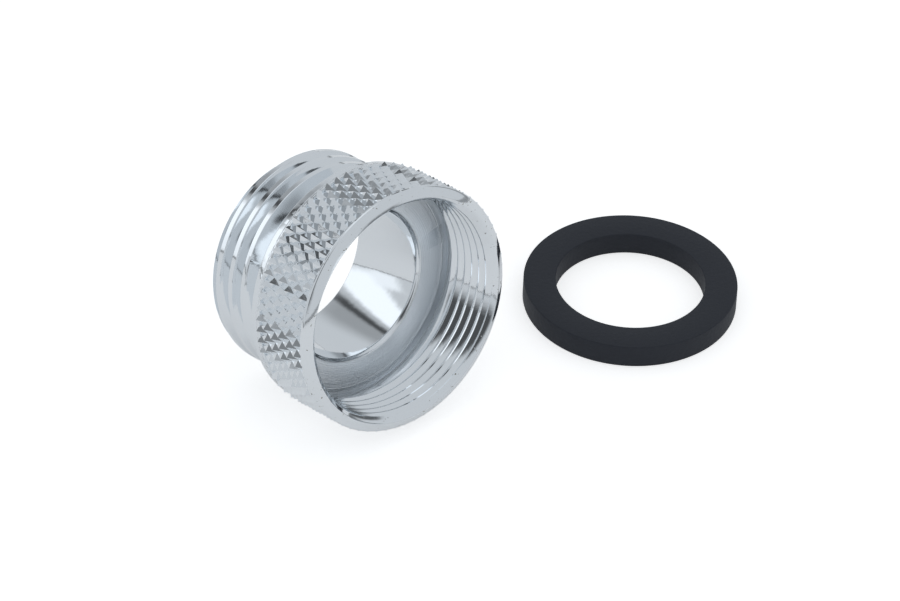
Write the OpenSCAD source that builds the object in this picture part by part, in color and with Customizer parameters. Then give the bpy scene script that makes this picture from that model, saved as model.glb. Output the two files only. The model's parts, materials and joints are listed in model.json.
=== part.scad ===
// Thread adapter for a tap spout: a chrome-plated brass fitting with a female thread in its knurled
// collar and a male pipe thread behind it, and the rubber sealing washer that lies beside it.
// The fitting is drawn standing on its own axis, with z = 0 at the outer edge of the mouth's face and
// +Z out of the mouth, and is then laid down. It rests on the back edge of the knurl and on the crest
// of the male thread. The origin is on the surface, under the middle of the whole set.

/* [Mouth] */
// Diameter of the outer edge of the mouth's face
face_d = 23.8; // [23.3:0.1:24]
// Diameter of the inner edge of the mouth's face
mouth_d = 22.1; // [21.6:0.1:22.6]
// How far the inner edge stands in front of the outer edge
face_rise = 0.52; // [0.2:0.02:0.9]
// Width of the chamfer between the mouth's face and the knurl
rim_l = 0.24; // [0.15:0.01:0.6]
// Major diameter of the female thread
female_d = 22; // [21.2:0.1:22.4]
// Pitch of the female thread
female_pitch = 1; // [0.75:0.25:1.5]
// Diameter of the undercut behind the female thread
undercut_d = 22.1; // [21.8:0.1:22.4]
// Length of the undercut along the axis
undercut_l = 1.1; // [0.6:0.1:1.8]
// Depth of the washer's seat behind the front of the rim
seat_depth = 7.24; // [5.5:0.02:9]

/* [Knurled collar] */
// Diameter over the knurl's points
knurl_d = 24.2; // [24:0.1:26]
// Depth of the knurl from its points to its valleys
knurl_depth = 0.5; // [0.25:0.05:0.6]
// Length of the knurl along the axis
knurl_l = 6.2; // [4:0.1:7.4]
// Distance between two rows of points along the axis
knurl_row_gap = 1.04; // [0.8:0.01:1.6]
// Points round one row of the knurl
knurl_points = 66; // [40:2:84]
// Diameter of the plain band behind the knurl
band_d = 23.6; // [22.8:0.1:23.8]
// Length of the plain band along the axis
band_l = 1.28; // [0.8:0.02:2.4]
// Chamfer at the back edge of the band
band_chamfer = 0.2; // [0.1:0.05:0.4]

/* [Male end] */
// Major diameter of the male thread
male_d = 20.955; // [18:0.005:22]
// Pitch of the male thread
male_pitch = 1.814; // [1.2:0.002:2]
// Length from the shoulder to the end face
male_l = 8.1; // [6.5:0.1:12]
// Length of the neck between the shoulder and the male thread
neck_l = 2.1; // [1:0.1:3]
// Length of the slope from the neck up to the thread
neck_slope_l = 0.6; // [0.4:0.05:1.2]
// Length of the lead-in chamfer at the end face
lead_l = 0.8; // [0.4:0.05:1.2]
// Height of the lead-in chamfer at the end face
lead_h = 0.72; // [0.3:0.02:1]

/* [Through bore] */
// Diameter of the bore
bore_d = 14.7; // [10:0.1:16]
// Chamfer where the bore meets the washer's seat
seat_chamfer = 0.35; // [0.1:0.05:0.6]
// Chamfer where the bore meets the end face
end_chamfer = 0.3; // [0.1:0.05:0.6]

/* [Sealing washer] */
// Outer diameter of the washer
washer_d = 20.5; // [18:0.1:21.6]
// Diameter of the washer's hole
washer_hole_d = 14.3; // [10:0.1:16]
// Thickness of the washer
washer_h = 2.3; // [1.5:0.1:3.5]
// How far the washer lies to the right of the mouth's middle
washer_right = 28.9; // [24:0.1:60]
// How far the washer lies behind the mouth's face
washer_back = 0.1; // [-20:0.1:30]

/* [Hidden] */
$fn = 128;

// Radii and levels along the fitting's own axis, from the mouth back to the end face
knurl_r = knurl_d / 2;
root_r = knurl_r - knurl_depth;
knurl_lap = 0.04;
bed_r = root_r - knurl_lap;
rim_back_r = knurl_r - knurl_lap;
thread_depth_ratio = 0.5413;
female_minor_r = female_d / 2 - thread_depth_ratio * female_pitch;
countersink_l = mouth_d / 2 - female_minor_r;
pipe_depth_ratio = 0.6403;
neck_r = male_d / 2 - pipe_depth_ratio * male_pitch;
male_r = male_d / 2;
rim_z = -rim_l;
seat_z = face_rise - seat_depth;
band_z = rim_z - knurl_l;
shoulder_z = band_z - band_l;
neck_end_z = shoulder_z - neck_l;
end_z = shoulder_z - male_l;
lead_z = end_z + lead_l;

// Rows of the knurl, evenly spread over its length
row_steps = max(2, round(knurl_l / knurl_row_gap));
row_gap = (knurl_l + 2 * knurl_lap) / row_steps;
row_sides = 2 * knurl_points;
// The knurl's ring reaches down into the wall behind it, half-way to the undercut
ring_inner_r = (bed_r + undercut_d / 2) / 2;

// The fitting leans back until the knurl's last row and the thread's crest both touch the surface.
// Two points of that row straddle the lowest line, so the row rests a little under its full radius.
rest_knurl_r = knurl_r * cos(180 / knurl_points);
lean = atan((rest_knurl_r - male_r) / (band_z - lead_z));
mouth_height = rest_knurl_r * cos(lean) - band_z * sin(lean);

// Middle of the whole set, seen from above
end_back = -end_z * cos(lean) + (male_r - lead_h) * sin(lean);
rim_front = -face_rise * cos(lean) - mouth_d / 2 * sin(lean);
set_right = max(knurl_r, washer_right + washer_d / 2);
set_back = max(end_back, washer_back + washer_d / 2);
set_front = min(rim_front, washer_back - washer_d / 2);
middle = [(set_right - knurl_r) / 2, (set_back + set_front) / 2];

// Moves what stands on its own axis to where it lies
module lay_down() {
    translate([-middle[0], -middle[1], mouth_height])
        rotate([90 - lean, 0, 0])
            children();
}

// A point of the knurl's surface: every second one stands out, and the rows are staggered
function knurl_point(row, side) = let (
        angle = (side + 0.5) * 360 / row_sides + 90 / knurl_points,
        r = (row + side) % 2 == 0 ? knurl_r : root_r
    ) [r * cos(angle), r * sin(angle), band_z - knurl_lap + row * row_gap];

function ring_point(side, z) = let (angle = (side + 0.5) * 360 / row_sides + 90 / knurl_points)
    [ring_inner_r * cos(angle), ring_inner_r * sin(angle), z];

// The knurl: a ring of sharp four-sided points between two sets of crossing valleys
module knurl() {
    inner_back = (row_steps + 1) * row_sides;
    inner_front = inner_back + row_sides;
    points = [
        for (row = [0:row_steps], side = [0:row_sides - 1]) knurl_point(row, side),
        for (side = [0:row_sides - 1]) ring_point(side, band_z - knurl_lap),
        for (side = [0:row_sides - 1]) ring_point(side, rim_z + knurl_lap)
    ];
    faces = [
        for (row = [0:row_steps - 1], side = [0:row_sides - 1])
            let (
                next = (side + 1) % row_sides,
                low = row * row_sides + side,
                low_next = row * row_sides + next,
                high = low + row_sides,
                high_next = low_next + row_sides
            )
            each (row + side) % 2 == 0
                ? [[low, high, low_next], [high, high_next, low_next]]
                : [[low, high, high_next], [low, high_next, low_next]],
        for (side = [0:row_sides - 1])
            let (next = (side + 1) % row_sides, top = row_steps * row_sides)
            each [
                [side, next, inner_back + next, inner_back + side],
                [inner_front + side, inner_front + next, top + next, top + side],
                [inner_back + side, inner_back + next, inner_front + next, inner_front + side]
            ]
    ];
    polyhedron(points, faces, convexity = 10);
}

// The turned fitting without its knurl, as one profile from the mouth round to the bore
module turned_blank() {
    rotate_extrude()
        polygon([
            [mouth_d / 2, face_rise],
            [face_d / 2, 0],
            [rim_back_r, rim_z],
            [bed_r, rim_z],
            [bed_r, band_z],
            [band_d / 2, band_z],
            [band_d / 2, shoulder_z + band_chamfer],
            [band_d / 2 - band_chamfer, shoulder_z],
            [neck_r, shoulder_z],
            [neck_r, neck_end_z],
            [male_r, neck_end_z - neck_slope_l],
            [male_r, lead_z],
            [male_r - lead_h, end_z],
            [bore_d / 2 + end_chamfer, end_z],
            [bore_d / 2, end_z + end_chamfer],
            [bore_d / 2, seat_z - seat_chamfer],
            [bore_d / 2 + seat_chamfer, seat_z],
            [undercut_d / 2, seat_z],
            [undercut_d / 2, seat_z + undercut_l],
            [female_minor_r, seat_z + undercut_l],
            [female_minor_r, face_rise - countersink_l]
        ]);
}

module adapter_body() {
    color([0.84, 0.85, 0.86])
        lay_down()
            union() {
                turned_blank();
                knurl();
            }
}

module seal_washer() {
    color([0.11, 0.12, 0.15])
        translate([washer_right - middle[0], washer_back - middle[1], 0])
            difference() {
                cylinder(h = washer_h, d = washer_d);
                translate([0, 0, -1])
                    cylinder(h = washer_h + 2, d = washer_hole_d);
            }
}

adapter_body();
seal_washer();
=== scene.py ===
import json
import math
import bpy
from mathutils import Matrix, Vector


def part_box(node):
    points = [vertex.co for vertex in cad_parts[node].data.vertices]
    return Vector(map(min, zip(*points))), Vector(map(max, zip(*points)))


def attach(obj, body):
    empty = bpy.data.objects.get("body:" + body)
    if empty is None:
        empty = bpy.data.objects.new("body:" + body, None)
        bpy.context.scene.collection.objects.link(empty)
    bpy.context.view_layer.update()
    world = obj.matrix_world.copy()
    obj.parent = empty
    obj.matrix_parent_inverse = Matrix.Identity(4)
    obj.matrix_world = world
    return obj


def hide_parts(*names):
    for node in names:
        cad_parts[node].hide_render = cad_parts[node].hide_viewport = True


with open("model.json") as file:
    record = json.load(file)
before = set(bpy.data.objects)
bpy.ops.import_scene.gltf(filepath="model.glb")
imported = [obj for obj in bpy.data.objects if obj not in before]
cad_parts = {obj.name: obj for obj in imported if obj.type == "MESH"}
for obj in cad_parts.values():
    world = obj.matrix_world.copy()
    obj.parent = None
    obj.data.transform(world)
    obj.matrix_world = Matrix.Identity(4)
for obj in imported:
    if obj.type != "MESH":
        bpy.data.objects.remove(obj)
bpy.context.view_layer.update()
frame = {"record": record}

mounts = {mount["name"]: mount for mount in frame["record"]["mounts"]}

# The adapter's blank: brass bar turned on a lathe, from the rim of the mouth round to the water way.
# It is modelled in millimetres on its own axis, with z = 0 at the outer edge of the mouth's face and
# +Z out of the mouth, and is laid where the mounts say once it is finished.
TURNED_SIDES = 400
FACE_R, MOUTH_R, FACE_RISE = 11.9, 11.05, 0.52
RIM_L = 0.24
KNURL_R, KNURL_DEPTH, KNURL_L = 12.1, 0.5, 6.2
LAP = 0.08
BAND_R, BAND_L, BAND_EDGE = 11.8, 1.28, 0.2
MALE_R = mounts["male_thread"]["dims"]["r_mm"]
MALE_PITCH = 1.814
NECK_R = MALE_R - 0.6403 * MALE_PITCH
MALE_L, NECK_L, NECK_SLOPE_L = 8.1, 2.1, 0.6
LEAD_L, LEAD_H = 0.8, 0.72
BORE_R = mounts["through_bore"]["dims"]["r_mm"]
SEAT_EDGE, END_EDGE = 0.35, 0.3
UNDERCUT_R, UNDERCUT_L = 11.05, 1.1
FEMALE_R = mounts["female_thread"]["dims"]["r_mm"]
SEAT_DEPTH = 7.24

knurl_front = -RIM_L
knurl_back = knurl_front - KNURL_L
shoulder = knurl_back - BAND_L
neck_end = shoulder - NECK_L
male_end = shoulder - MALE_L
seat = FACE_RISE - SEAT_DEPTH
bed_r = KNURL_R - KNURL_DEPTH - LAP


def only(piece):
    """Makes one object the only selected one, in object mode."""
    bpy.ops.object.select_all(action="DESELECT")
    piece.select_set(True)
    bpy.context.view_layer.objects.active = piece


def pick(piece, wanted, kind="EDGE"):
    """In edit mode, selects the points whose place passes the test, or the edges between them."""
    bpy.ops.mesh.select_mode(type="VERT")
    bpy.ops.mesh.select_all(action="DESELECT")
    bpy.ops.object.mode_set(mode="OBJECT")
    for vertex in piece.data.vertices:
        vertex.select = wanted(vertex.co)
    bpy.ops.object.mode_set(mode="EDIT")
    bpy.ops.mesh.select_mode(type=kind)


def turn(name, profile, sides=TURNED_SIDES):
    """Turns a closed outline of (radius, height) points round Z, ring by ring."""
    radius, height = profile[0]
    bpy.ops.object.select_all(action="DESELECT")
    bpy.ops.mesh.primitive_circle_add(vertices=sides, radius=radius)
    piece = bpy.context.active_object
    piece.name = name
    bpy.ops.object.mode_set(mode="EDIT")
    bpy.ops.mesh.select_mode(type="EDGE")
    bpy.ops.mesh.select_all(action="SELECT")
    bpy.ops.transform.translate(value=(0, 0, height))
    for next_radius, next_height in profile[1:]:
        bpy.ops.mesh.extrude_region_move(
            TRANSFORM_OT_translate={"value": (0, 0, next_height - height)})
        bpy.ops.transform.resize(
            value=(next_radius / radius, next_radius / radius, 1), center_override=(0, 0, 0))
        radius, height = next_radius, next_height
    bpy.ops.object.mode_set(mode="OBJECT")
    for edge in piece.data.edges[:sides]:
        edge.select = True
    for vertex in piece.data.vertices[:sides]:
        vertex.select = True
    bpy.ops.object.mode_set(mode="EDIT")
    bpy.ops.mesh.bridge_edge_loops()
    bpy.ops.mesh.select_all(action="SELECT")
    bpy.ops.mesh.normals_make_consistent(inside=False)
    bpy.ops.object.mode_set(mode="OBJECT")
    return piece


def apply(piece, kind, **settings):
    """Adds a modifier with its settings and applies it."""
    only(piece)
    modifier = piece.modifiers.new(kind.lower(), kind)
    for name, value in settings.items():
        setattr(modifier, name, value)
    bpy.ops.object.modifier_apply(modifier=modifier.name)


def combine(piece, other, operation):
    """Joins a solid to the piece or cuts it from the piece."""
    apply(piece, "BOOLEAN", operation=operation, object=other, solver="EXACT")
    bpy.data.objects.remove(other)


adapter = turn("adapter", [
    (MOUTH_R, FACE_RISE),
    (FACE_R, 0),
    (KNURL_R - LAP, knurl_front),
    (bed_r, knurl_front),
    (bed_r, knurl_back),
    (BAND_R, knurl_back),
    (BAND_R, shoulder + BAND_EDGE),
    (BAND_R - BAND_EDGE, shoulder),
    (NECK_R, shoulder),
    (NECK_R, neck_end),
    (MALE_R, neck_end - NECK_SLOPE_L),
    (MALE_R, male_end + LEAD_L),
    (MALE_R - LEAD_H, male_end),
    (BORE_R + END_EDGE, male_end),
    (BORE_R, male_end + END_EDGE),
    (BORE_R, seat - SEAT_EDGE),
    (BORE_R + SEAT_EDGE, seat),
    (UNDERCUT_R, seat),
    (UNDERCUT_R, seat + UNDERCUT_L),
    (FEMALE_R, seat + UNDERCUT_L),
    (FEMALE_R, FACE_RISE - (MOUTH_R - FEMALE_R)),
])
apply(adapter, "BEVEL", width=0.05, segments=2, limit_method="ANGLE", angle_limit=math.radians(20))

# The knurl: two sets of crossing valleys rolled into the collar, which leave rows of sharp points.
# A ring is divided into a lattice, every second crossing is pushed down to the valleys' depth, and
# each field is folded along its valley.
KNURL_POINTS = 66
KNURL_ROW_GAP = 1.04

lattice_sides = 2 * KNURL_POINTS
side_angle = 2 * math.pi / lattice_sides
row_steps = round(KNURL_L / KNURL_ROW_GAP)
ring_l = KNURL_L + 2 * LAP
row_gap = ring_l / row_steps
ring_back = knurl_back - LAP
valley_scale = (KNURL_R - KNURL_DEPTH) / KNURL_R
ring_inner_r = (bed_r + UNDERCUT_R) / 2


def lies_outside(place):
    return place.xy.length > (ring_inner_r + KNURL_R - KNURL_DEPTH) / 2


def lies_in_valley(place):
    row = round((place.z - ring_back) / row_gap)
    side = round((math.atan2(place.y, place.x) + math.pi / 2) / side_angle)
    return lies_outside(place) and (row + side) % 2 == 1


def lies_at_end(place):
    return min(place.z - ring_back, ring_back + ring_l - place.z) < LAP / 2


bpy.ops.object.select_all(action="DESELECT")
bpy.ops.mesh.primitive_cylinder_add(
    vertices=lattice_sides, radius=KNURL_R, depth=ring_l, end_fill_type="NOTHING",
    location=(0, 0, ring_back + ring_l / 2))
knurl = bpy.context.active_object
bpy.ops.object.transform_apply(location=True)
bpy.ops.object.mode_set(mode="EDIT")
bpy.ops.mesh.select_mode(type="EDGE")
bpy.ops.mesh.select_all(action="DESELECT")
bpy.ops.object.mode_set(mode="OBJECT")
for edge in knurl.data.edges:
    low, high = (knurl.data.vertices[index].co.z for index in edge.vertices)
    edge.select = abs(high - low) > ring_l / 2
bpy.ops.object.mode_set(mode="EDIT")
bpy.ops.mesh.subdivide(number_cuts=row_steps - 1)
pick(knurl, lies_at_end)
bpy.ops.mesh.extrude_region_move()
inner_scale = ring_inner_r / KNURL_R
bpy.ops.transform.resize(value=(inner_scale, inner_scale, 1), center_override=(0, 0, 0))
bpy.ops.mesh.bridge_edge_loops()
pick(knurl, lies_in_valley, "VERT")
bpy.ops.transform.resize(value=(valley_scale, valley_scale, 1), center_override=(0, 0, 0))
pick(knurl, lies_outside, "FACE")
bpy.ops.mesh.quads_convert_to_tris(quad_method="SHORTEST_DIAGONAL")
bpy.ops.mesh.select_all(action="SELECT")
bpy.ops.mesh.normals_make_consistent(inside=False)
bpy.ops.object.mode_set(mode="OBJECT")
combine(adapter, knurl, "UNION")

# Both threads: right-hand grooves, cut with a pointed tool that runs out into the neck behind the
# male thread and into the undercut behind the female one. Each cutter is the groove's section, wound
# up along its screw line.
FEMALE_PITCH = 1.0
TURN_STEPS = 180


def thread_cutter(pitch, crest_r, root_r, root_w, crest_w, start, end):
    """A groove's section with a rounded root and softened crests, wound from start to end."""
    outward = 1 if root_r > crest_r else -1
    depth = abs(root_r - crest_r)
    bpy.ops.object.select_all(action="DESELECT")
    bpy.ops.mesh.primitive_plane_add(size=1, rotation=(math.pi / 2, 0, 0))
    cutter = bpy.context.active_object
    cutter.scale = (depth, crest_w, 1)
    cutter.location = ((root_r + crest_r) / 2, 0, start)
    bpy.ops.object.transform_apply(location=True, rotation=True, scale=True)
    bpy.ops.object.mode_set(mode="EDIT")
    pick(cutter, lambda place: (place.x - crest_r) * outward > depth / 2)
    bpy.ops.transform.resize(value=(1, 1, root_w / crest_w), center_override=(0, 0, start))
    bpy.ops.mesh.bevel(offset=root_w / 3, segments=2, affect="VERTICES")
    pick(cutter, lambda place: (place.x - crest_r) * outward < depth / 4)
    flare = 0.12
    bpy.ops.mesh.extrude_region_move(TRANSFORM_OT_translate={"value": (-outward * flare, 0, 0)})
    bpy.ops.transform.resize(value=(1, 1, (crest_w + 3 * flare) / crest_w), center_override=(0, 0, start))
    bpy.ops.mesh.select_all(action="SELECT")
    bpy.ops.mesh.delete(type="ONLY_FACE")
    pick(cutter, lambda place: abs(place.x - crest_r) < depth / 50)
    bpy.ops.mesh.delete(type="EDGE")
    bpy.ops.object.mode_set(mode="OBJECT")
    turns = (end - start) / pitch
    steps = round(TURN_STEPS * turns)
    apply(cutter, "SCREW", axis="Z", angle=2 * math.pi * turns, screw_offset=pitch * turns,
          steps=steps, render_steps=steps)
    bpy.ops.object.mode_set(mode="EDIT")
    bpy.ops.mesh.select_all(action="SELECT")
    bpy.ops.mesh.fill_holes(sides=0)
    bpy.ops.mesh.normals_make_consistent(inside=False)
    bpy.ops.object.mode_set(mode="OBJECT")
    return cutter


male_cutter = thread_cutter(MALE_PITCH, MALE_R - 0.03, NECK_R + 0.01, 0.22, 1.22,
                            male_end - 1.1 * MALE_PITCH, shoulder - 0.9)
combine(adapter, male_cutter, "DIFFERENCE")
female_cutter = thread_cutter(FEMALE_PITCH, FEMALE_R + 0.02, FEMALE_R + 0.5413, 0.14, 0.8,
                              seat + UNDERCUT_L / 2, 2 * FACE_RISE)
combine(adapter, female_cutter, "DIFFERENCE")

only(adapter)
bpy.ops.object.shade_smooth_by_angle(angle=math.radians(28))

out_of_mouth = Vector(mounts["female_thread"]["axis"])
thread_middle = Vector(mounts["female_thread"]["pos_m"])
thread_z = (seat + UNDERCUT_L + FACE_RISE - (MOUTH_R - FEMALE_R)) / 2
mouth_middle = thread_middle - out_of_mouth * thread_z * 0.001
across = Vector((1, 0, 0))
lying = Matrix((across, out_of_mouth.cross(across), out_of_mouth)).transposed()
adapter.matrix_world = Matrix.Translation(mouth_middle) @ lying.to_4x4() @ Matrix.Scale(0.001, 4)
only(adapter)
bpy.ops.object.transform_apply(location=True, rotation=True, scale=True)

chrome = bpy.data.materials.new("chrome_plate")
chrome.use_nodes = True
nodes, links = chrome.node_tree.nodes, chrome.node_tree.links


def value_of(operation, *inputs):
    """Adds one Math node to the material or world in hand and returns its result."""
    node = nodes.new("ShaderNodeMath")
    node.operation = operation
    for socket, given in zip(node.inputs, inputs):
        if isinstance(given, (int, float)):
            socket.default_value = given
        else:
            links.new(given, socket)
    return node.outputs[0]


def ramp(value, low, high, start=0, end=1):
    """A soft step: start below low, end above high."""
    node = nodes.new("ShaderNodeMapRange")
    node.interpolation_type = "SMOOTHSTEP"
    links.new(value, node.inputs["Value"])
    for name, given in (("From Min", low), ("From Max", high), ("To Min", start), ("To Max", end)):
        node.inputs[name].default_value = given
    return node.outputs["Result"]


def noise(place, scale, detail=3):
    """Soft random grain, scale grains to the unit."""
    node = nodes.new("ShaderNodeTexNoise")
    links.new(place, node.inputs["Vector"])
    node.inputs["Scale"].default_value = scale
    node.inputs["Detail"].default_value = detail
    return node.outputs["Fac"]


def tint(under, over, amount):
    """Lays one colour over another by an amount."""
    node = nodes.new("ShaderNodeMix")
    node.data_type = "RGBA"
    links.new(amount, node.inputs["Factor"])
    node.inputs["A"].default_value = (*under, 1)
    node.inputs["B"].default_value = (*over, 1)
    return node.outputs["Result"]


def bump(height, distance, strength=1):
    """Tilts the surface by a height."""
    node = nodes.new("ShaderNodeBump")
    links.new(height, node.inputs["Height"])
    node.inputs["Distance"].default_value = distance
    node.inputs["Strength"].default_value = strength
    return node.outputs["Normal"]


# Places on the adapter's own axis, in millimetres
on_axis = nodes.new("ShaderNodeMapping")
on_axis.vector_type = "TEXTURE"
on_axis.inputs["Location"].default_value = mouth_middle
on_axis.inputs["Rotation"].default_value = lying.to_euler()
on_axis.inputs["Scale"].default_value = (0.001, 0.001, 0.001)
links.new(nodes.new("ShaderNodeTexCoord").outputs["Object"], on_axis.inputs["Vector"])
own_place = on_axis.outputs["Vector"]
parts = nodes.new("ShaderNodeSeparateXYZ")
links.new(own_place, parts.inputs[0])
own_r = value_of("SQRT", value_of("ADD", value_of("POWER", parts.outputs["X"], 2),
                                  value_of("POWER", parts.outputs["Y"], 2)))
from_seat = value_of("ABSOLUTE", value_of("SUBTRACT", parts.outputs["Z"], seat))
on_seat = value_of("MULTIPLY", ramp(from_seat, 0.05, 0.2, 1, 0), ramp(own_r, BORE_R, BORE_R + SEAT_EDGE))
on_face = ramp(parts.outputs["Z"], -0.3, -0.1)

# The tool's rings on the seat, a faint unevenness of the plating, and pits near the mouth
ring_place = nodes.new("ShaderNodeCombineXYZ")
links.new(own_r, ring_place.inputs["X"])
rings = value_of("MULTIPLY", noise(ring_place.outputs[0], 9, 2), value_of("MULTIPLY", on_seat, 0.05))
waves = value_of("MULTIPLY", noise(own_place, 0.9), 0.008)
pitted = value_of("MULTIPLY", ramp(noise(own_place, 3.2, 2), 0.68, 0.74), on_face)
surface = value_of("SUBTRACT", value_of("ADD", rings, waves), value_of("MULTIPLY", pitted, 0.02))

shader = nodes["Principled BSDF"]
links.new(tint((0.84, 0.875, 0.905), (0.3, 0.29, 0.24), pitted), shader.inputs["Base Color"])
shader.inputs["Metallic"].default_value = 1
links.new(ramp(on_seat, 0, 1, 0.07, 0.3), shader.inputs["Roughness"])
links.new(bump(surface, 0.001), shader.inputs["Normal"])
adapter.data.materials.clear()
adapter.data.materials.append(chrome)
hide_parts("adapter_body")
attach(adapter, "root")

# The sealing washer: a flat ring punched from black rubber sheet.
washer_low, washer_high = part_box("seal_washer")
washer_r = (washer_high.x - washer_low.x) / 2 * 1000
washer_h = (washer_high.z - washer_low.z) * 1000
hole_r = mounts["washer_hole"]["dims"]["r_mm"]
washer = turn("washer", [(washer_r, 0), (washer_r, washer_h), (hole_r, washer_h), (hole_r, 0)])
apply(washer, "BEVEL", width=0.12, segments=3, limit_method="ANGLE", angle_limit=math.radians(30))
only(washer)
bpy.ops.object.shade_smooth_by_angle(angle=math.radians(30))
washer.matrix_world = (
    Matrix.Translation(((washer_low.x + washer_high.x) / 2, (washer_low.y + washer_high.y) / 2, 0))
    @ Matrix.Scale(0.001, 4))
bpy.ops.object.transform_apply(location=True, rotation=True, scale=True)
rubber = bpy.data.materials.new("washer_rubber")
rubber.use_nodes = True
nodes, links = rubber.node_tree.nodes, rubber.node_tree.links
rubber_place = nodes.new("ShaderNodeTexCoord").outputs["Object"]
dust = nodes.new("ShaderNodeTexVoronoi")
links.new(rubber_place, dust.inputs["Vector"])
dust.inputs["Scale"].default_value = 260
speck = value_of("MULTIPLY", ramp(dust.outputs["Distance"], 0.05, 0.09, 1, 0),
                 ramp(noise(rubber_place, 200, 1), 0.56, 0.6))
shader = nodes["Principled BSDF"]
links.new(tint((0.012, 0.016, 0.026), (0.3, 0.26, 0.22), speck), shader.inputs["Base Color"])
shader.inputs["Roughness"].default_value = 0.6
links.new(bump(noise(rubber_place, 2500), 0.00004), shader.inputs["Normal"])
washer.data.materials.clear()
washer.data.materials.append(rubber)
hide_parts("seal_washer")
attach(washer, "root")

# The surface: plain pale card that the set lies on.
bpy.ops.object.select_all(action="DESELECT")
bpy.ops.mesh.primitive_plane_add(size=0.8)
floor = bpy.context.active_object
floor.name = "floor"
paper = bpy.data.materials.new("floor_card")
paper.use_nodes = True
nodes, links = paper.node_tree.nodes, paper.node_tree.links
shader = nodes["Principled BSDF"]
shader.inputs["Base Color"].default_value = (0.8, 0.8, 0.8, 1)
shader.inputs["Roughness"].default_value = 0.9
shader.inputs["Specular IOR Level"].default_value = 0
seen_by = nodes.new("ShaderNodeLightPath")
shader.inputs["Emission Color"].default_value = (1, 1, 1, 1)
links.new(value_of("ADD", value_of("MULTIPLY", seen_by.outputs["Is Camera Ray"], 0.62),
                   value_of("MULTIPLY", seen_by.outputs["Is Glossy Ray"], 0.22)),
          shader.inputs["Emission Strength"])
floor.data.materials.append(paper)

# The light: a pale tent round the table. Each row below is one soft-edged field of it: its brightness,
# its heading from the camera, half width and softness, then its lowest and highest height and softness.
world = bpy.data.worlds.new("tent")
bpy.context.scene.world = world
world.use_nodes = True
nodes, links = world.node_tree.nodes, world.node_tree.links


direction = nodes.new("ShaderNodeSeparateXYZ")
links.new(nodes.new("ShaderNodeTexCoord").outputs["Generated"], direction.inputs[0])
heading = value_of("DEGREES", value_of("ARCTAN2", direction.outputs["X"],
                                       value_of("MULTIPLY", direction.outputs["Y"], -1)))
height = value_of("DEGREES", value_of("ARCSINE", direction.outputs["Z"]))


def patch(middle, half_w, side_soft, low, high, edge_soft):
    """A soft-edged field of the tent: its heading, half width, heights and how soft its edges are."""
    turned = value_of("WRAP", value_of("SUBTRACT", heading, middle), 180, -180)
    aside = value_of("ABSOLUTE", turned)
    inside = value_of("SUBTRACT", 1, ramp(aside, half_w - side_soft, half_w + side_soft))
    above = ramp(height, low - edge_soft, low + edge_soft)
    below = value_of("SUBTRACT", 1, ramp(height, high - edge_soft, high + edge_soft))
    return value_of("MULTIPLY", inside, value_of("MULTIPLY", above, below))


def blend_in(under, level, mask):
    """Lays a field of one brightness over what is there."""
    return value_of("ADD", value_of("MULTIPLY", under, value_of("SUBTRACT", 1, mask)),
                    value_of("MULTIPLY", level, mask))


VIEW_AZIMUTH = -42.2
tent = value_of("ADD", 0.62, 0)
for level, *field in (
        (0.85, 0, 180, 1, 74, 120, 8),
        (0.36, -140, 16, 10, 20, 75, 8),
        (0.08, -130, 4, 3, 20, 75, 6),
        (1.12, -107, 12, 3, 2, 48, 5),
        (1.00, -93, 6, 3, 0, 14, 3),
        (0.24, -66, 8, 4, 24, 56, 5),
        (0.10, 163, 8, 4, 34, 50, 4),
        (0.08, 2, 12, 5, 8, 52, 6),
        (1.00, 51, 7, 3, -5, 14, 3),
        (0.20, 68, 8, 3, -5, 20, 3),
        (0.12, 129, 9, 4, -5, 26, 5),
        (0.28, 0, 180, 1, -90, 0, 0.3)):
    field[0] += VIEW_AZIMUTH
    tent = blend_in(tent, level, patch(*field))
backdrop = nodes.new("ShaderNodeLightPath").outputs["Is Camera Ray"]
seen = blend_in(tent, 1, backdrop)
cool = nodes.new("ShaderNodeVectorMath")
cool.operation = "SCALE"
cool.inputs[0].default_value = (0.96, 1.0, 1.04)
links.new(seen, cool.inputs["Scale"])
links.new(cool.outputs[0], nodes["Background"].inputs["Color"])

# The camera: the photograph's long lens, at the photograph's viewing angle.
VIEW_ELEVATION, VIEW_ROLL = 38.5, 2.5
VIEW_DISTANCE = 0.4923
LENS, SENSOR = 215.2, 36
MOUTH_PIXEL = (403.85, 309.6)
PICTURE = (900, 601)
azimuth, elevation = math.radians(VIEW_AZIMUTH), math.radians(VIEW_ELEVATION)
towards = Vector((math.sin(azimuth) * math.cos(elevation), -math.cos(azimuth) * math.cos(elevation),
                  math.sin(elevation)))
level = Vector((math.cos(azimuth), math.sin(azimuth), 0))
roll = math.radians(VIEW_ROLL)
right = level * math.cos(roll) + towards.cross(level) * math.sin(roll)
up = towards.cross(right)
pixel = VIEW_DISTANCE * SENSOR / LENS / PICTURE[0]
camera_place = (mouth_middle + towards * VIEW_DISTANCE
                + right * (PICTURE[0] / 2 - MOUTH_PIXEL[0]) * pixel
                - up * (PICTURE[1] / 2 - MOUTH_PIXEL[1]) * pixel)
lens = bpy.data.cameras.new("camera")
lens.lens, lens.sensor_width = LENS, SENSOR
lens.clip_start, lens.clip_end = 0.01, 50
camera = bpy.data.objects.new("camera", lens)
camera.matrix_world = Matrix.Translation(camera_place) @ Matrix((right, up, towards)).transposed().to_4x4()
bpy.context.scene.collection.objects.link(camera)
bpy.context.scene.camera = camera
bpy.context.scene.view_settings.view_transform = "Standard"
